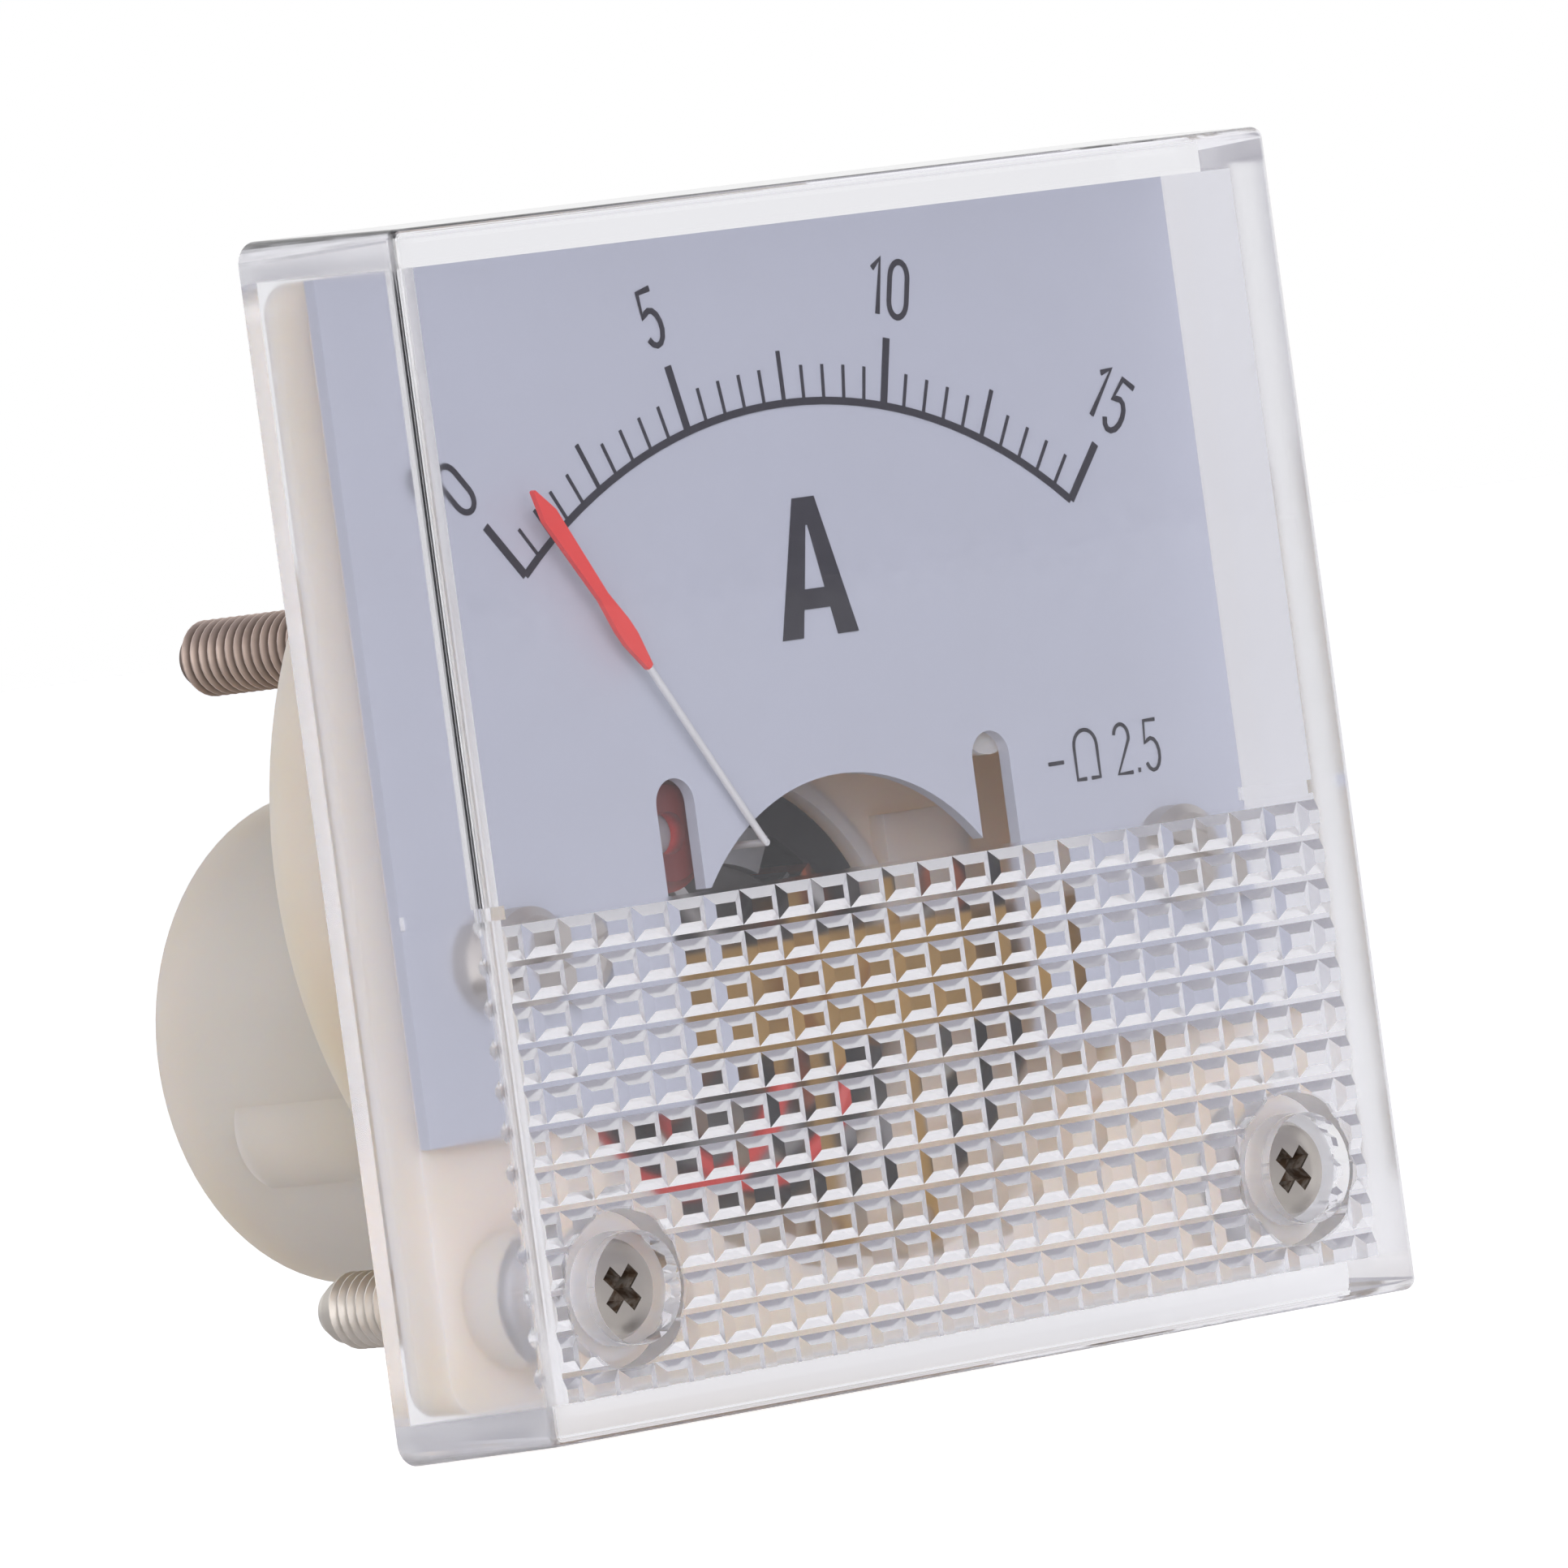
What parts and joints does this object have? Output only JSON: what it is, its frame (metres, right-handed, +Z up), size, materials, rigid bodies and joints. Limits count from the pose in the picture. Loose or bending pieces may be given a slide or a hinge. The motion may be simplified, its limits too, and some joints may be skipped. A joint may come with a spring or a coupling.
{
  "type": "analog panel meter",
  "caption": "Square moving-coil panel ammeter with a clear cover, prismed lower band, printed arc scale, lance pointer and a core-magnet movement behind.",
  "frame": {"origin": "on the axis of the round body, in the plane that seats on the panel", "axes": "+X to the right of someone reading the dial, +Y from the reader to the back of the panel along the round body, +Z up"},
  "size_m": [0.045, 0.0345, 0.045],
  "materials": {
    "clear_plastic": "clear moulded polystyrene, polished window",
    "ivory_plastic": "aged ivory moulding",
    "dial_paint": "blue-grey enamel with dark print",
    "screw_steel": "zinc plated, dulled",
    "stud_steel": "dark thread",
    "tinned_brass": "tinned",
    "shunt_alloy": "copper-coloured resistance alloy",
    "red_lacquer": "lacquered winding",
    "yoke_iron": "soft iron, dark",
    "magnet_alloy": "ground magnet alloy",
    "bridge_alloy": "cast",
    "brass": "bright, slightly dulled",
    "jewel_glass": "polished",
    "former_aluminium": "plain",
    "copper_wire": "enamelled copper wire",
    "pivot_steel": "polished points",
    "spring_bronze": "phosphor bronze",
    "solder": "solder coils",
    "pointer_paint": "red lance on a bare needle",
    "red_pvc": "insulated wire",
    "black_pvc": "insulated wire"
  },
  "bodies": {
    "case": {"front_cover": "clear_plastic", "base_case": "ivory_plastic", "dial_plate": "dial_paint", "dial_screw_left": "screw_steel", "dial_screw_right": "screw_steel", "cover_screw_left": "screw_steel", "cover_screw_right": "screw_steel", "terminal_stud_left": "stud_steel", "terminal_stud_right": "stud_steel", "solder_tag_left": "tinned_brass", "solder_tag_right": "tinned_brass", "shunt_strip": "shunt_alloy", "series_resistor": "red_lacquer", "yoke_ring": "yoke_iron", "core_magnet": "magnet_alloy", "rear_bridge": "bridge_alloy", "front_bridge": "brass", "bridge_screw_left": "screw_steel", "bridge_screw_right": "screw_steel", "front_jewel_screw": "brass", "front_lock_nut": "brass", "front_jewel": "jewel_glass", "rear_jewel_screw": "brass", "rear_lock_nut": "brass", "rear_jewel": "jewel_glass", "red_lead": "red_pvc", "black_lead": "black_pvc", "link_lead": "red_pvc"},
    "coil": {"coil_former": "former_aluminium", "moving_coil": "copper_wire", "front_staff": "brass", "rear_staff": "brass", "front_pivot": "pivot_steel", "rear_pivot": "pivot_steel", "front_hairspring": "spring_bronze", "rear_hairspring": "spring_bronze", "balance_cross": "brass", "balance_weight_tail": "solder", "balance_weight_left": "solder", "balance_weight_right": "solder", "pointer": "pointer_paint"},
    "lever": {"zero_lever": "brass"}
  },
  "joints": [
    {"name": "pointer_swing", "type": "hinge", "parent": "case", "child": "coil", "pos_m": [0, 0, -0.00675], "axis": [0, 1, 0], "range_deg": [-8.2, 79.8], "stiffness_Nm_per_rad": 0.000004},
    {"name": "zero_adjust", "type": "hinge", "parent": "case", "child": "lever", "pos_m": [0, 0, -0.00675], "axis": [0, 1, 0], "range_deg": [-8, 8]}
  ]
}
